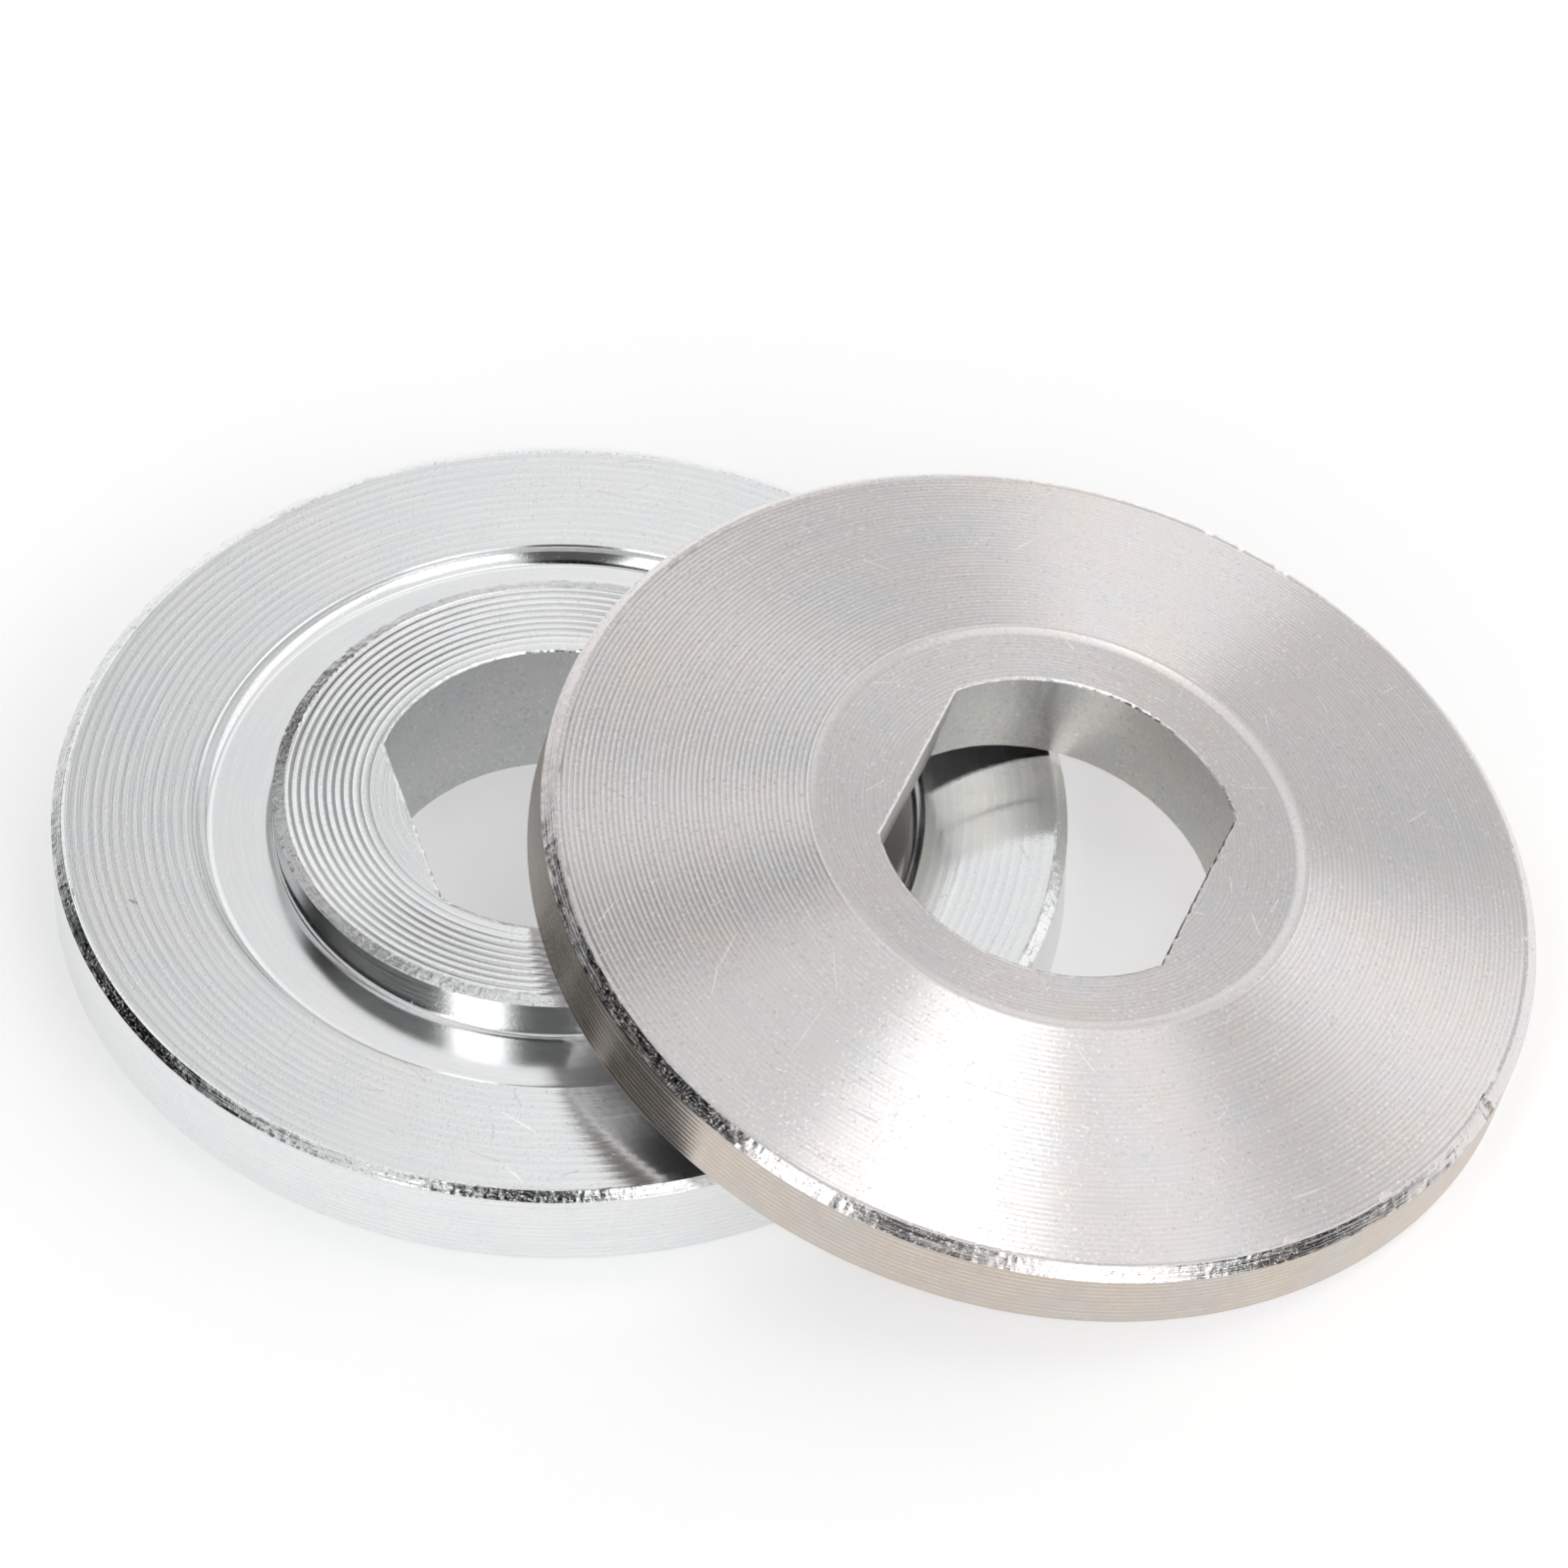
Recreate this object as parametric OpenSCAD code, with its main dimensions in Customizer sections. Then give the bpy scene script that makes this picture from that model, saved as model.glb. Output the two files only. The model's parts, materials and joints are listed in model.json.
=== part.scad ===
// A pair of clamp washers that hold a circular saw blade on its spindle, laid down as a pair.
// The inner washer lies on its back with the blade spigot up. The outer washer lies with its
// conical back up: the edge of its clamp recess rests on the inner washer's rim, and the far
// side of its own rim rests on the table.
// Lengths are in millimetres and angles in degrees. The origin is on the inner washer's axis at
// the table, +Z is up, and +X points across the flats of the inner washer's bore.

/* [Both washers] */
// Outside diameter of both washers
outside_d = 45; // [37.5:0.5:56]
// Diameter of the round sides of the spindle bore
bore_d = 16.5; // [13.7:0.1:20]
// Width across the two flats of the spindle bore
across_flats = 13.5; // [10:0.1:16.4]
// Diameter of the back land, which a spindle shoulder or a bolt head bears on
land_d = 22.4; // [18.6:0.1:28]
// Width of the bevel between the rim and the conical back
back_bevel_w = 0.5; // [0.2:0.05:1]
// Height of the bevel between the rim and the conical back
back_bevel_h = 0.45; // [0.2:0.05:1]

/* [Inner washer] */
// Thickness of the rim, from the clamp face to the edge of the conical back
inner_rim_t = 4.45; // [3:0.05:6]
// Rise of the conical back from its edge to the back land
inner_back_h = 1.55; // [0.8:0.05:3]
// Width of the bevel round the clamp face
inner_face_bevel_w = 0.45; // [0.2:0.05:1]
// Height of the bevel round the clamp face
inner_face_bevel_h = 0.25; // [0.1:0.05:1]
// Diameter of the relief inside the clamp face, at its mouth
inner_relief_d = 32.3; // [26.9:0.1:39]
// Depth of the relief inside the clamp face
inner_relief_depth = 0.7; // [0.3:0.05:1.5]
// How far the wall of the relief leans in from its mouth to its floor
inner_relief_run = 0.45; // [0.1:0.05:0.8]
// Diameter of the spigot that centres the blade
spigot_d = 25.4; // [21:0.1:31]
// Height of the spigot above the clamp face
spigot_h = 1.5; // [0.8:0.05:3]
// Width of the bevel round the end of the spigot
spigot_bevel_w = 0.5; // [0.1:0.05:0.8]
// Height of the bevel round the end of the spigot
spigot_bevel_h = 0.15; // [0.1:0.05:0.6]

/* [Outer washer] */
// Thickness of the rim, from the clamp face to the edge of the conical back
outer_rim_t = 3.5; // [2.6:0.05:5]
// Rise of the conical back from its edge to the crest round the back land
outer_back_h = 2.7; // [1.5:0.05:4]
// Depth of the back land below the crest of the cone
land_dish = 0.15; // [0.05:0.05:0.4]
// Width of the sloping ring from the crest down to the back land
land_ring_w = 0.45; // [0.2:0.05:0.6]
// Width and height of the bevel round the clamp face
outer_face_bevel = 0.2; // [0.1:0.05:0.6]
// Diameter of the recess that passes over the spigot, at its mouth
outer_recess_d = 34; // [28:0.1:41]
// Depth of the recess that passes over the spigot
outer_recess_depth = 1.2; // [0.6:0.05:2.4]
// How far the wall of the recess leans in from its mouth to its floor
outer_recess_run = 0.3; // [0.1:0.05:0.6]

/* [How the pair lies] */
// Level distance from the inner washer's axis to the middle of the outer washer's clamp face
reach = 21.1; // [17.5:0.1:25.5]
// Direction in which the outer washer lies, turned from +X about the inner washer's axis
lay_turn = -29.3; // [-180:0.1:180]
// Turn of the outer washer's bore about its own axis, from the direction it lies in
outer_turn = -9; // [-180:0.5:180]
// Height of the gap left where the outer washer rests on the inner one
seat_gap = 0.05; // [0.02:0.01:0.2]

/* [Hidden] */
$fn = 180;

// How far a cutting shape runs past the faces it cuts
past = 1;
rim_r = outside_d / 2;
land_r = land_d / 2;
cone_r = rim_r - back_bevel_w;

// Heights of the inner washer's steps above the table
inner_face_z = inner_back_h + inner_rim_t;
spigot_top_z = inner_face_z + spigot_h;
inner_face_r = rim_r - inner_face_bevel_w;

// Sizes of the outer washer's steps, its clamp face being at height 0 in its own frame
outer_face_r = rim_r - outer_face_bevel;
outer_land_z = outer_rim_t + outer_back_h - land_dish;
outer_recess_r = outer_recess_d / 2;

// The outer washer leans on the table and on one of the inner washer's edges. These are the faces
// on its underside: the height of each above the clamp face, then the radius of the opening in it
// and half the width across the flats of that opening.
FACES_DOWN = [
    [0, outer_recess_r, outer_recess_r],
    [outer_recess_depth, bore_d / 2, across_flats / 2]
];
// Edges on the inner washer's upper side: the radius of each and its height above the table
EDGES_UP = [
    [rim_r, inner_face_z - inner_face_bevel_h],
    [inner_face_r, inner_face_z],
    [spigot_d / 2, spigot_top_z - spigot_bevel_h],
    [spigot_d / 2 - spigot_bevel_w, spigot_top_z]
];
// Leans that the search starts between, how often it halves them, and how finely it looks
// along a stretch of an edge, as a share of half that stretch
FLATTEST = 1;
STEEPEST = 40;
HALVINGS = 40;
LOOK_STEP = 0.05;

// Whether a point of a leaning face, measured from the washer's axis, is inside its opening
function is_open(point, face) =
    norm(point) <= face[1]
    && abs(point.x * cos(outer_turn) + point.y * sin(outer_turn)) <= face[2];

// Whether a leaning face clears an edge. The face slopes down away from the inner washer's axis,
// and is level with the edge at some distance from that axis. The stretch of the edge past that
// distance stands higher than the face, so all of it has to be inside the opening.
function is_clear(lean, face, edge) =
    let (
        middle = reach + face[0] * sin(lean),
        height = outer_face_r * sin(lean) + face[0] * cos(lean) - seat_gap,
        level_at = middle + (height - edge[1]) / tan(lean),
        half_turn = acos(max(-1, min(1, level_at / edge[0]))),
        stuck = [
            for (share = [-1 : LOOK_STEP : 1])
                let (turn = share * half_turn)
                if (!is_open([(edge[0] * cos(turn) - middle) / cos(lean), edge[0] * sin(turn)], face))
                    turn
        ]
    )
    level_at >= edge[0] || len(stuck) == 0;

// The flattest lean at which a face just clears an edge, found by halving
function clearing_lean(face, edge, low = FLATTEST, high = STEEPEST, left = HALVINGS) =
    left == 0 ? high
    : is_clear((low + high) / 2, face, edge)
        ? clearing_lean(face, edge, low, (low + high) / 2, left - 1)
        : clearing_lean(face, edge, (low + high) / 2, high, left - 1);

lean = max([for (face = FACES_DOWN, edge = EDGES_UP) clearing_lean(face, edge)]);

// Double-D hole for the spindle, through a washer of the given height standing at height 0
module spindle_bore(height) {
    translate([0, 0, -past])
        linear_extrude(height + 2 * past)
            intersection() {
                circle(d = bore_d);
                square([across_flats, bore_d + past], center = true);
            }
}

// Half section of the inner washer, from the back land up to the end of the spigot
module inner_section() {
    polygon([
        [0, 0],
        [land_r, 0],
        [cone_r, inner_back_h],
        [rim_r, inner_back_h + back_bevel_h],
        [rim_r, inner_face_z - inner_face_bevel_h],
        [inner_face_r, inner_face_z],
        [inner_relief_d / 2, inner_face_z],
        [inner_relief_d / 2 - inner_relief_run, inner_face_z - inner_relief_depth],
        [spigot_d / 2, inner_face_z - inner_relief_depth],
        [spigot_d / 2, spigot_top_z - spigot_bevel_h],
        [spigot_d / 2 - spigot_bevel_w, spigot_top_z],
        [0, spigot_top_z]
    ]);
}

// Half section of the outer washer, from the clamp recess up to the dished back land
module outer_section() {
    polygon([
        [0, outer_recess_depth],
        [outer_recess_r - outer_recess_run, outer_recess_depth],
        [outer_recess_r, 0],
        [outer_face_r, 0],
        [rim_r, outer_face_bevel],
        [rim_r, outer_rim_t - back_bevel_h],
        [cone_r, outer_rim_t],
        [land_r, outer_rim_t + outer_back_h],
        [land_r - land_ring_w, outer_land_z],
        [0, outer_land_z]
    ]);
}

module inner_washer() {
    color([0.80, 0.81, 0.82])
        difference() {
            rotate_extrude() inner_section();
            spindle_bore(spigot_top_z);
        }
}

// Lays a washer that is modelled on its clamp face down as the outer washer rests
module laid_down() {
    rotate([0, 0, lay_turn])
        translate([reach, 0, outer_face_r * sin(lean)])
            rotate([0, lean, 0])
                rotate([0, 0, outer_turn])
                    children();
}

module outer_washer() {
    color([0.79, 0.77, 0.76])
        laid_down()
            difference() {
                rotate_extrude() outer_section();
                spindle_bore(outer_land_z);
            }
}

inner_washer();
outer_washer();
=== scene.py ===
import json
import math

import bmesh
import bpy
from mathutils import Matrix, Vector, noise


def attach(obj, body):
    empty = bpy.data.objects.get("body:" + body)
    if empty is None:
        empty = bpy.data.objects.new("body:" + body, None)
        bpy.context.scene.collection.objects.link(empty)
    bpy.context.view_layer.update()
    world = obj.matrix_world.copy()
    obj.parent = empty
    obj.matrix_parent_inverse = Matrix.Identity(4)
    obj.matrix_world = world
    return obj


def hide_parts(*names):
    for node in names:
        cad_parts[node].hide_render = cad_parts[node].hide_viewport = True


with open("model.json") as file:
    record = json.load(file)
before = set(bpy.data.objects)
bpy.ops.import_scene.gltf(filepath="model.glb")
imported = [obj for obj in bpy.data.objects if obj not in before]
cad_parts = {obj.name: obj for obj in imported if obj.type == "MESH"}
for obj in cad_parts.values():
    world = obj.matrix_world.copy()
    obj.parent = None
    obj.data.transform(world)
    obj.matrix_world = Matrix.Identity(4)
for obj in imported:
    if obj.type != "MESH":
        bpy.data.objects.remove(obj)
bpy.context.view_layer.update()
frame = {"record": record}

# Sizes of the washers are in millimetres and in each washer's own frame, until it is laid in place
MM = 0.001

# Both washers
OUTSIDE_R = 22.5
BORE_R = 8.25
HALF_FLATS = 6.75
LAND_R = 11.2
CONE_R = 22.0

# Inner washer, from its back land up
INNER_BACK_Z = 1.55
INNER_SIDE_LOW_Z = 2.0
INNER_SIDE_HIGH_Z = 5.75
INNER_FACE_R = 22.05
INNER_FACE_Z = 6.0
RELIEF_MOUTH_R = 16.15
RELIEF_FLOOR_R = 15.7
RELIEF_FLOOR_Z = 5.3
SPIGOT_R = 12.7
SPIGOT_EDGE_R = 12.2
SPIGOT_SIDE_Z = 7.35
SPIGOT_TOP_Z = 7.5

# Outer washer, from its clamp face up
OUTER_FACE_R = 22.3
OUTER_SIDE_LOW_Z = 0.2
OUTER_SIDE_HIGH_Z = 3.05
OUTER_CONE_Z = 3.5
OUTER_CREST_Z = 6.2
OUTER_LAND_R = 10.75
OUTER_LAND_Z = 6.05
RECESS_MOUTH_R = 17.0
RECESS_FLOOR_R = 16.7
RECESS_FLOOR_Z = 1.2
OUTER_TURN = -9.0

# How finely the lathe work is divided round the axis, and how finely its ragged edges are
STEPS = 360
EDGE_CUTS = 3
# Vertices closer than this become one, and a cut through a face snaps to a nearer vertex
MERGE_GAP = 1e-4
SNAP_GAP = 1e-5
# A ridge or a hollow that bends by more degrees than this gets a hard edge in the shading
SOFT_RIDGE = 4
SOFT_HOLLOW = 30
# Where the flat faces start, inside the flats of the bore
START_R = 6.4
# Width and depth of the broken edge round each end of a bore
EDGE_W = 0.14
EDGE_H = 0.06
# Name of the UV map that counts the feeds of the tool
LINES_MAP = "tool_lines"

# How far the tool moves along in one turn on each surface, and how deep a hollow it leaves
INNER_LAND_CUT = (0.37, 0.003)
SPIGOT_FACE_CUT = (0.37, 0.028)
SPIGOT_SIDE_CUT = (0.3, 0.003)
RELIEF_FLOOR_CUT = (0.45, 0.001)
RIM_FACE_CUT = (0.43, 0.0035)
INNER_SIDE_CUT = (0.27, 0.004)
INNER_CONE_CUT = (0.5, 0.01)
INNER_BACK_CUT = (0.4, 0.006)
OUTER_LAND_CUT = (0.2, 0.005)
OUTER_CONE_CUT = (0.245, 0.01)
OUTER_SIDE_CUT = (0.26, 0.016)
OUTER_FACE_CUT = (0.35, 0.01)
RECESS_WALL_CUT = (0.4, 0.004)
RECESS_FLOOR_CUT = (0.4, 0.01)
# The bevels are smooth
BEVEL_CUT = (0.3, 0.0)
INNER_RIM_EDGE_CUT = (0.25, 0.0)
# How many feeds it takes until the hollows on the spigot's face are at their full depth
SPIGOT_FADE = 3
# How unevenly deep the hollows are, how high the crests between them, as shares of the depth, and
# how far apart two feeds next to each other are in the noise that both are taken from
HOLLOW_UNEVEN = 0.15
CREST_SHARE = 0.1
HOLLOW_STEP = 2.7
CREST_STEP = 3.9

# The small fillet at the foot of the spigot, and how far its middle stands off both faces
FILLET_R = 0.12
FILLET_MIDDLE = 0.04
# The wall of the relief, from its floor up, with a rounded corner at the floor and at the mouth
RELIEF_WALL = [
    (RELIEF_FLOOR_R - 0.1, RELIEF_FLOOR_Z),
    (RELIEF_FLOOR_R - 0.04, RELIEF_FLOOR_Z + 0.02),
    (RELIEF_MOUTH_R - 0.11, RELIEF_FLOOR_Z + 0.41),
    (RELIEF_MOUTH_R - 0.09, RELIEF_FLOOR_Z + 0.44),
    (RELIEF_MOUTH_R - 0.03, INNER_FACE_Z - 0.06),
    (RELIEF_MOUTH_R + 0.04, INNER_FACE_Z),
]
# Where the clamp face ends, and the top of the burr that the bevel's tool left just outside it
RIM_FACE_END = (INNER_FACE_R - 0.08, INNER_FACE_Z)
RIM_BURR_TOP = (INNER_FACE_R, INNER_FACE_Z + 0.015)
# The ring round the outer washer's back land, up from the land and over its worn crest
WORN_CREST_Z = OUTER_CREST_Z - 0.06
LAND_RING = [
    (OUTER_LAND_R, OUTER_LAND_Z),
    (OUTER_LAND_R + 0.08, OUTER_LAND_Z + 0.005),
    (LAND_R - 0.06, WORN_CREST_Z - 0.008),
    (LAND_R + 0.04, WORN_CREST_Z),
    (LAND_R + 0.14, WORN_CREST_Z - 0.015),
]
# Where the conical back ends, and the top of the burr outside it
CONE_END = (CONE_R - 0.1, OUTER_CONE_Z + 0.02)
CONE_BURR_TOP = (CONE_R + 0.03, OUTER_CONE_Z + 0.06)

# Rings of the burr round each bore: distance below the face, distance set back, unevenness
INNER_LIP = [(0.01, 0.1, 0.02), (0.03, 0.05, 0.03), (EDGE_H, 0.0, 0.02)]
OUTER_LIP = [(0.01, 0.1, 0.015), (0.03, 0.05, 0.025), (EDGE_H, 0.0, 0.015)]
# Rings of each bore's wall from the top down: height, distance set back, unevenness. Below a line
# the outer washer's wall stands back by a hair
INNER_WALL = [(SPIGOT_TOP_Z - 0.8, 0.0, 0.01), (SPIGOT_TOP_Z / 2, 0.0, 0.01), (EDGE_H, 0.0, 0.01)]
OUTER_WALL = [(3.8, 0.0, 0.01), (3.7, 0.08, 0.0), (RECESS_FLOOR_Z + EDGE_H, 0.08, 0.01)]
# How quickly the unevenness of those rings changes round the bore, inward and in height
RING_WAVES_IN = 19
RING_WAVES_UP = 31
RING_RISE_SHARE = 0.6

# How deep the nicks in a broken edge go, and how near to a ring a vertex belongs to it
NICK_DEPTH = 0.1
RING_REACH = 0.003
# How far a nick goes inward and down on the first ring of a broken edge, the middle ones and the last
FRAY_SHARES = ((1.1, 0.1), (0.35, 0.3), (0.1, 0.6))
# Noise in a broken edge, how quickly it changes along the edge and in height: the long stretches
# that are nicked more or less, the coarse nicks and the fine ones
STRETCH_NOISE = (0.45, 3)
COARSE_NOISE = (1.8, 5)
FINE_NOISE = (5.5, 9)
# How much of a knock goes inward and how much of it down
DENT_SHARE = 0.7
# A knock on the outer washer's rim: angle, half width in degrees, depth
RIM_DENTS = [(-5.4, 1.0, 0.14)]
# The longer scratches: x, y, half length, turn in degrees, half width, strength (dark below 0)
INNER_MARKS = [
    (-6.74, -16.91, 0.96, -54, 0.045, 1),
    (-7.71, -19.73, 0.6, -65, 0.04, 1),
    (-19.5, 0.03, 0.25, -44, 0.09, -1.6),
]
OUTER_MARKS = [
    (-15.82, -13.45, 0.76, 78, 0.045, 1),
    (-10.3, -13.3, 0.9, 90, 0.045, 1),
    (-10.2, -14.9, 0.8, 104, 0.04, 0.8),
    (-5.6, -15.5, 1.5, 82, 0.03, 0.7),
    (-5.73, -12.42, 1.3, -62, 0.03, 0.5),
    (10.04, -4.37, 0.4, -11, 0.06, 1),
    (-7.32, 15.51, 0.65, 68, 0.05, 0.8),
    (16.63, -11.43, 0.79, 52, 0.05, 0.8),
]


# Noise stays well inside -1 to 1, so it is stretched to fill that range
NOISE_STRETCH = 1.6


def vary(*place):
    """A value from -1 to 1 that is always the same at the same place."""
    return max(-1.0, min(1.0, NOISE_STRETCH * noise.noise(Vector((*place, 0.0, 0.0)[:3]))))


# Where the points of one feed stand between its two crests, by how many there are
FEED_SHARES = {2: (0, 0.5), 4: (0, 0.18, 0.5, 0.82)}


def turned_run(start, end, cut, parts=2, fade=0):
    """Points along a turned surface: each feed of the tool leaves a hollow between two crests.

    A cut is the tool's feed and the depth of the hollow. Each feed has as many points as parts says.
    The hollows grow to their full depth over the first few feeds, as many as fade says.
    """
    pitch, depth = cut
    start, end = Vector(start), Vector(end)
    along = end - start
    count = max(1, round(along.length / pitch))
    inward = Vector((along.y, -along.x)).normalized()
    points = [start]
    for i in range(count):
        uneven = 1.0 + HOLLOW_UNEVEN * vary(HOLLOW_STEP * i, start.x, start.y)
        deepest = depth * uneven * min(1.0, (i + 1) / (fade + 1))
        high = 1.0 + vary(CREST_STEP * i, start.y, start.x)
        crest = 0.0 if i == 0 else CREST_SHARE * depth * high
        for part in range(0 if i else 1, parts):
            share = FEED_SHARES[parts][part]
            hollow = crest if part == 0 else deepest * (1 - abs(2 * share - 1) ** 4)
            points.append(start + along * ((i + share) / count) + inward * hollow)
    return points + [end]


def spin_run(bm, points, material, parts=1):
    """Turns a run of points right round the axis and adds it to the washer in one material.

    Its UV map counts the feeds of the tool across the run, which have as many points as parts
    says, and the turns round the axis.
    """
    run = bmesh.new()
    verts = [run.verts.new((p[0], 0.0, p[1])) for p in points]
    edges = [run.edges.new(pair) for pair in zip(verts, verts[1:])]
    feeds = {(round(v.co.x, 3), round(v.co.z, 3)): i / parts for i, v in enumerate(verts)}
    bmesh.ops.spin(run, geom=verts + edges, cent=(0, 0, 0), axis=(0, 0, 1),
                   angle=2 * math.pi, steps=STEPS, use_merge=True)
    uv = run.loops.layers.uv.new(LINES_MAP)
    for face in run.faces:
        face.material_index = material
        centre = face.calc_center_median()
        middle = math.atan2(centre.y, centre.x)
        for loop in face.loops:
            co = loop.vert.co
            turn = (math.atan2(co.y, co.x) - middle) / (2 * math.pi)
            place = (round(co.xy.length, 3), round(co.z, 3))
            loop[uv].uv = (feeds.get(place, 0.0), middle / (2 * math.pi) + turn - round(turn))
    mesh = bpy.data.meshes.new("run")
    run.to_mesh(mesh)
    run.free()
    bm.from_mesh(mesh)
    bpy.data.meshes.remove(mesh)


def outline_r(angle, set_back):
    """Radius of the double-D outline at an angle, set back into the metal."""
    across = abs(math.cos(angle))
    flat = (HALF_FLATS + set_back) / max(across, 1e-6)
    return min(BORE_R + set_back, flat)


def cone_z(r):
    """Height of the outer washer's conical back at a radius."""
    return OUTER_CREST_Z - (OUTER_CREST_Z - OUTER_CONE_Z) * (r - LAND_R) / (CONE_R - LAND_R)


def open_bore(bm, top_z, floor_z, lip, walls):
    """Cuts the double-D hole through both faces and joins them with the burr and the bore's walls.

    The lip and the walls are rings from the top down: height, distance set back, unevenness.
    """
    hole_r = BORE_R + EDGE_W
    flat = HALF_FLATS + EDGE_W
    for side in (-1, 1):
        near = [f for f in bm.faces if f.calc_center_median().xy.length < hole_r]
        parts = list({v for f in near for v in f.verts}) + list({e for f in near for e in f.edges})
        bmesh.ops.bisect_plane(bm, geom=parts + near, dist=SNAP_GAP,
                               plane_co=(side * flat, 0, 0), plane_no=(1, 0, 0))
    inside = [f for f in bm.faces if f.calc_center_median().xy.length < hole_r
              and abs(f.calc_center_median().x) < flat]
    bmesh.ops.delete(bm, geom=inside, context="FACES")
    middle = (top_z + floor_z) / 2
    rims = [e for e in bm.edges if e.is_boundary]
    upper = [e for e in rims if e.verts[0].co.z > middle]
    lower = [e for e in rims if e.verts[0].co.z <= middle]
    rings = [(ring, EDGE) for ring in lip] + [(ring, BORE) for ring in walls]
    for (height, set_back, uneven), material in rings:
        made = bmesh.ops.extrude_edge_only(bm, edges=upper)["geom"]
        upper = [e for e in made if isinstance(e, bmesh.types.BMEdge)]
        for face in made:
            if isinstance(face, bmesh.types.BMFace):
                face.material_index = material
        for vert in {v for e in upper for v in e.verts}:
            angle = math.atan2(vert.co.y, vert.co.x)
            r = outline_r(angle, set_back + uneven * vary(RING_WAVES_IN * angle, height))
            rise = RING_RISE_SHARE * uneven * vary(RING_WAVES_UP * angle, height, 5.0)
            vert.co = (r * math.cos(angle), r * math.sin(angle), height + rise)
    closing = bmesh.ops.bridge_loops(bm, edges=upper + lower)["faces"]
    for face in closing:
        face.material_index = BORE


def finish_washer(bm, name, node, placement, materials):
    """Makes the turned shape an object in its place, with its normals and hard edges."""
    bmesh.ops.remove_doubles(bm, verts=bm.verts, dist=MERGE_GAP)
    bmesh.ops.recalc_face_normals(bm, faces=bm.faces)
    for edge in bm.edges:
        if len(edge.link_faces) == 2:
            bend = math.degrees(edge.calc_face_angle_signed(0.0))
            edge.smooth = -SOFT_HOLLOW < bend < SOFT_RIDGE
    for face in bm.faces:
        face.smooth = True
    bmesh.ops.transform(bm, matrix=placement @ Matrix.Scale(MM, 4), verts=bm.verts)
    mesh = bpy.data.meshes.new(name)
    bm.to_mesh(mesh)
    bm.free()
    for material in materials:
        mesh.materials.append(material)
    washer = bpy.data.objects.new(name, mesh)
    bpy.context.scene.collection.objects.link(washer)
    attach(washer, "root")
    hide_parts(node)
    return washer


def fray(bm, rings, dents=()):
    """Divides the rings of a broken edge more finely and nicks them, as the tool's exit leaves them.

    A dent is the place of a harder knock: its angle round the axis, its half width and its depth.
    """
    last = len(rings) - 1

    def ring_number(vert):
        near = [i for i, (r, z) in enumerate(rings)
                if abs(vert.co.xy.length - r) < RING_REACH and abs(vert.co.z - z) < RING_REACH]
        return near[0] if near else None

    def on_ring(vert):
        return ring_number(vert) is not None

    def vary_by(noise_sizes, co):
        along, up = noise_sizes
        return vary(along * co.x, along * co.y, up * co.z)

    edges = [e for e in bm.edges if on_ring(e.verts[0]) and on_ring(e.verts[1])
             and abs(e.verts[0].co.z - e.verts[1].co.z) < MERGE_GAP]
    bmesh.ops.subdivide_edges(bm, edges=edges, cuts=EDGE_CUTS)
    for vert in filter(on_ring, bm.verts[:]):
        number = ring_number(vert)
        angle_here = math.degrees(math.atan2(vert.co.y, vert.co.x))
        stretch = 0.6 + 0.4 * vary_by(STRETCH_NOISE, vert.co)
        coarse = vary_by(COARSE_NOISE, vert.co)
        fine = vary_by(FINE_NOISE, vert.co)
        nick = NICK_DEPTH * stretch * (0.45 + 0.25 * coarse + 0.3 * fine)
        inward, down = FRAY_SHARES[0 if number == 0 else 2 if number == last else 1]
        dented = 0.0
        for angle, half_width, dent in dents:
            apart = (angle_here - angle) / half_width
            dented += dent * max(0.0, 1 - apart * apart)
        vert.co.xy *= 1 - (inward * nick + DENT_SHARE * dented) / vert.co.xy.length
        vert.co.z -= down * nick + DENT_SHARE * dented


# Materials

# The crest lines are painted highlight along each crest, partly a burnished crest: how strongly one
# stands out against its flanks, and how much of its length breaks off
CREST_SHARPNESS = 3.0
CREST_BREAK_GAIN = 2.4
CREST_BREAK_LEVEL = -0.5
# The short scratches: half their width, the longest half length, and how densely they lie
SCRATCH_HALF_WIDTH = 0.035
SCRATCH_HALF_LENGTH = 0.8
SCRATCH_DENSITY = 0.55
# How strong the specks are, and how sharply their patches are set off from the clean plate
SPECK_GAIN = 60.0
PATCH_GAIN = 4.0
PATCH_LEVEL = -1.0
SPECK_FINENESS = 6.0
# How quickly the fine tool lines change round the axis
LINE_STREAK = 3.0
# Mean of the painted crest highlight, which is taken off so that it doesn't make the plate brighter
MEAN_CREST_SHEEN = 0.3
# How much the patterns change the tone of the plate, its roughness and the height of its surface
PLAIN_TONE = 0.92
LINES_TONE = 0.16
SCRATCH_TONE = 0.2
MARK_TONE = 0.22
SCRATCH_ROUGHNESS = 0.2
SPECK_HEIGHT = 0.8


def add(tree, kind, **settings):
    """Adds a node; a setting's name is a property, or a socket's name or number."""
    node = tree.nodes.new(kind)
    for key, value in settings.items():
        if hasattr(node, key):
            setattr(node, key, value)
        else:
            node.inputs[key.replace("_", " ")].default_value = value
    return node


def maths(tree, operation, *values, clamp=False):
    """Adds a Math node; each value is a number or a socket."""
    node = tree.nodes.new("ShaderNodeMath")
    node.operation = operation
    node.use_clamp = clamp
    for i, value in enumerate(values):
        if isinstance(value, bpy.types.NodeSocket):
            tree.links.new(value, node.inputs[i])
        else:
            node.inputs[i].default_value = value
    return node.outputs[0]


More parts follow.
